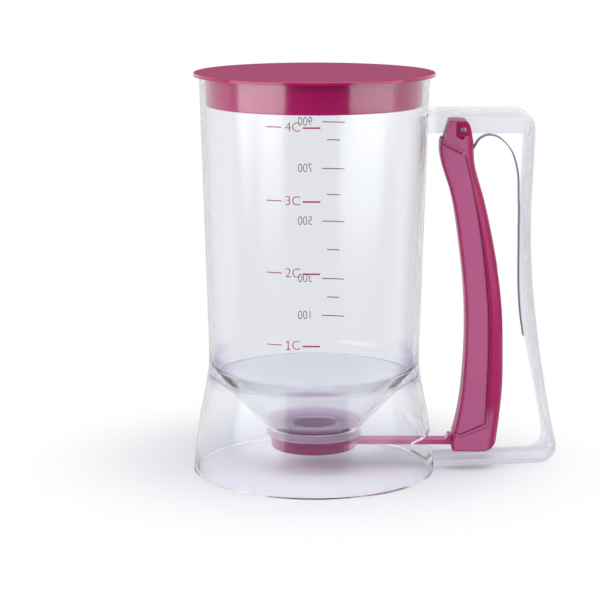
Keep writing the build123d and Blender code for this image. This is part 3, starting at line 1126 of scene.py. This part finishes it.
@dataclass
class Stage:
    """A white sweep, soft lamps and the camera.

    Attributes:
        floor_half: Half the floor's width in metres.
        floor_drop: How far it lies below the object's foot.
        camera_pitch: Degrees that the camera looks down.
        camera_yaw: Degrees that it looks to the left.
        aim: The middle of the object, which the lamps face.
        world_fill: The strength of the world's light on the object.
        front_gloss: How bright the world and the floor are mirrored on the camera's side.
        back_gloss: How bright the world is mirrored on the far side.
        gloss_from: How far round the world's mirrored side begins to brighten, as a sine.
        gloss_full: Where it is brightest.
        card: The floor's colour under the object, where it takes the shadow.
        card_near: How far from the object's middle the card reaches, in metres.
        card_far: Where the floor shows as white.
        floor_back_gloss: How bright the floor is mirrored on the far side.
        floor_turn: How far from the middle the mirrored floor stops changing.
    """

    floor_half: float = 20.0
    floor_drop: float = 0.0002
    camera_place: tuple[float, float, float] = (0.0, -0.9493, 0.2618)
    camera_pitch: float = 10.892
    camera_yaw: float = 0.392
    lens: float = 125.9
    sensor: float = 36.0
    clip_start: float = 0.05
    aim: tuple[float, float, float] = (0.02, 0.0, 0.09)
    boxes: tuple[SoftBox, ...] = (
        SoftBox("left_box", turn=-57, rise=12, away=0.9, width=0.95, height=0.9, watts=7.2),
        SoftBox("right_box", turn=62, rise=12, away=0.9, width=0.95, height=0.9, watts=5.4),
        SoftBox("top_box", turn=0, rise=82, away=0.9, width=0.9, height=0.9, watts=5.5),
    )
    world_fill: float = 0.45
    front_gloss: float = 0.04
    back_gloss: float = 0.9
    gloss_from: float = -0.1
    gloss_full: float = 0.5
    card: str = "#E6E6E9"
    card_near: float = 0.065
    card_far: float = 0.15
    floor_back_gloss: float = 0.8
    floor_turn: float = 0.065

    def seen_share(self, tree: NodeTree, path: Node) -> NodeSocket:
        """Work out how far a ray is one that looks at the backdrop.

        A ray from the camera sees it, straight or through clear plastic. A ray that was
        scattered or mirrored on its way doesn't.

        Args:
            tree: The material's node tree.
            path: Its light path node.

        Returns:
            A socket from 0, lit by the backdrop, to 1, looking at it.
        """
        turned = add_node(
            tree, "Math",
            settings=PLUS,
            links={0: path.outputs["Glossy Depth"], 1: path.outputs["Diffuse Depth"]},
        )
        kept = add_node(
            tree, "MapRange", values={"To Min": 1.0, "To Max": 0.0}, links={"Value": turned.outputs[0]}
        )
        through = add_node(
            tree, "Math",
            settings=TIMES,
            links={0: kept.outputs["Result"], 1: path.outputs["Is Transmission Ray"]},
        )
        either = add_node(
            tree, "Math",
            settings={"operation": "MAXIMUM"},
            links={0: path.outputs["Is Camera Ray"], 1: through.outputs[0]},
        )
        return either.outputs[0]

    def floor(self) -> None:
        """Lay the floor, which takes the shadow near the object and shows white beyond."""
        ground = bmesh.new()
        bmesh.ops.create_grid(ground, x_segments=1, y_segments=1, size=self.floor_half)
        mesh = bpy.data.meshes.new("floor")
        ground.to_mesh(mesh)
        ground.free()
        piece = add_object("floor", mesh)
        piece.location.z = -self.floor_drop
        material, tree = new_material("white card")
        card = add_node(tree, "BsdfDiffuse", values={"Color": linear(self.card)})
        glow = add_node(tree, "Emission", values={"Color": linear(WHITE), "Strength": 1.0})
        place = add_node(tree, "TexCoord").outputs["Object"]
        away = add_node(tree, "VectorMath", settings=LENGTH, links={0: place})
        share = add_node(
            tree, "MapRange",
            settings=SMOOTH,
            values={"From Min": self.card_near, "From Max": self.card_far},
            links={"Value": away.outputs["Value"]},
        )
        path = add_node(tree, "LightPath")
        seen = self.seen_share(tree, path)
        part = add_node(tree, "Math", settings=TIMES, links={0: seen, 1: share.outputs["Result"]})
        shown = add_node(
            tree, "MixShader", links={0: part.outputs[0], 1: card.outputs[0], 2: glow.outputs[0]}
        )
        behind = add_node(tree, "SeparateXYZ", links={0: place})
        level = add_node(
            tree, "MapRange",
            settings=SMOOTH,
            values={
                "From Min": -self.floor_turn,
                "From Max": self.floor_turn,
                "To Min": self.front_gloss,
                "To Max": self.floor_back_gloss,
            },
            links={"Value": behind.outputs["Y"]},
        )
        mirrored = add_node(tree, "MapRange", links={"Value": path.outputs["Glossy Depth"]})
        mirror_look = add_node(
            tree, "Emission",
            values={"Color": linear(WHITE)},
            links={"Strength": level.outputs["Result"]},
        )
        whole = add_node(
            tree, "MixShader",
            links={0: mirrored.outputs["Result"], 1: shown.outputs[0], 2: mirror_look.outputs[0]},
        )
        add_node(tree, "OutputMaterial", links={"Surface": whole.outputs[0]})
        dress(piece, material)

    def sky(self) -> None:
        """Light the set from a pale world that shows as white, mirrored dark in front."""
        world = bpy.data.worlds.new("studio")
        bpy.context.scene.world = world
        world.use_nodes = True
        tree = world.node_tree
        tree.nodes.clear()
        path = add_node(tree, "LightPath")
        seen = self.seen_share(tree, path)
        way = add_node(tree, "SeparateXYZ", links={0: add_node(tree, "TexCoord").outputs["Generated"]})
        gloss = add_node(
            tree, "MapRange",
            settings=SMOOTH,
            values={
                "From Min": self.gloss_from,
                "From Max": self.gloss_full,
                "To Min": self.front_gloss,
                "To Max": self.back_gloss,
            },
            links={"Value": way.outputs["Y"]},
        )
        unseen = add_node(
            tree, "MapRange",
            values={"To Min": self.world_fill},
            links={"Value": path.outputs["Glossy Depth"], "To Max": gloss.outputs["Result"]},
        )
        level = add_node(tree, "MapRange", links={"Value": seen, "To Min": unseen.outputs["Result"]})
        back = add_node(
            tree, "Background",
            values={"Color": linear(WHITE)},
            links={"Strength": level.outputs["Result"]},
        )
        add_node(tree, "OutputWorld", links={"Surface": back.outputs[0]})

    def camera(self) -> None:
        """Set the camera at the viewing angle."""
        data = bpy.data.cameras.new("camera")
        data.lens = self.lens
        data.sensor_width = self.sensor
        data.sensor_fit = "HORIZONTAL"
        data.clip_start = self.clip_start
        holder = add_object("camera", data)
        holder.location = self.camera_place
        holder.rotation_euler = (radians(90 - self.camera_pitch), 0.0, radians(self.camera_yaw))
        bpy.context.scene.camera = holder

    def build(self) -> None:
        """Set up everything round the object."""
        self.floor()
        self.sky()
        for box in self.boxes:
            box.build(Vector(self.aim))
        self.camera()
        bpy.context.scene.view_settings.view_transform = "Standard"


# ---- the object's finishes

# Clear SAN from a polished mould: a bright hard gloss on thin, almost colourless walls. The
# handle's side of the mould is textured and gives a soft frost.
CLEAR = ClearPlastic(
    "clear SAN, polished mould", "#F6F7FA", "#E8E9EE", "#EDEDF2",
    roughness=0.05, frosted=0.4, frost_from_mm=53.5, frost_full_mm=56.5,
)
# Magenta ABS from a textured mould: even satin flanks, paler than the edges round them
# through the painted sheen in their colour.
GRIP = MouldedPlastic(
    "magenta ABS, grip", "#A01359", "#930E50", "#A4507A", 0.4, Axis.SIDE, polish=0.15
)
# The same ABS, whose spine and channel come from a smoother part of the mould. They lack the
# flanks' painted sheen, so they look deeper.
LEVER = MouldedPlastic(
    "magenta ABS, lever", "#A01359", "#930E50", "#A4507A", 0.4, Axis.SIDE, polish=0.15,
    polished_middle_mm=86.0, polished_half_mm=54.0, side_from_mm=7.6,
)
# Magenta ABS with a polished rim: a deep colour, with sharp highlights along the edge.
LID = MouldedPlastic(
    "magenta ABS, lid", "#A00655", "#93044C", "#8D1450", 0.25, Axis.TOP, specular=0.1
)
# Magenta polypropylene: softer and waxier than ABS. Its colour is darkened all over as painted
# shade from the skirt round it.
CAP_PAINTED_SHADE = MouldedPlastic("magenta PP, cap", "#7C0C50", "#700846", "#9C3C74", 0.30, Axis.TOP)
# The same polypropylene in a thin gate and rod, coloured paler as painted light: the rod's
# highlight and the skirt's reflection over it.
SLIDE_PAINTED_LIGHT = MouldedPlastic("magenta PP, slide", "#B8447C", "#A63A70", "#C46A94", 0.35, Axis.TOP)
# Moulded silicone: a soft mauve with no gloss on its skin.
SEAL = MouldedPlastic(
    "mauve silicone", "#A03C86", "#92307A", "#A03C86", 0.45, Axis.TOP, polish=0.0
)
# Cold-rolled spring steel under a film of oil: dull grey with blurred reflections.
STRIP = Steel("cold-rolled spring steel", "#9C9EA2", "#84868A", 0.5)
# Drawn steel: bare and pale, with fine lines along it. Its colour is tinted rosy as a painted
# reflection of the trigger round it.
PIN_PAINTED_REFLECTION = Steel(
    "drawn steel pin", "#E2D0D6", "#B9A7AD", 0.5, along=(1.0, 0.1, 1.0), metallic=1.0
)
# Pad-printed ink: matt, thin and a little uneven.
INK = PadInk("magenta pad ink", "#8E2C50", "#9C4064")

NODE_FINISHES = (
    ("jug", CLEAR),
    ("lid", LID),
    ("trigger_lever", LEVER),
    ("trigger_grip", GRIP),
    ("valve_slide", SLIDE_PAINTED_LIGHT),
    ("valve_cap", CAP_PAINTED_SHADE),
    ("valve_seal", SEAL),
    ("pivot_pin", PIN_PAINTED_REFLECTION),
)


def main() -> None:
    """Build the looks in order."""
    logging.basicConfig(level=logging.INFO)
    Stage().build()
    for name, finish in NODE_FINISHES:
        dress(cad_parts[name], finish.build())
        LOG.info("dressed %s in %s", name, finish.name)
    scale = PrintedScale()
    scale.build()
    scale.finish(INK.build())
    for piece in scale.pieces:
        LOG.info("printed %s", piece.name)
    spring = ReturnSpring()
    strip = spring.build()
    spring.finish(strip, STRIP.build())
    LOG.info("made %s", strip.name)


if __name__ == "__main__":
    main()
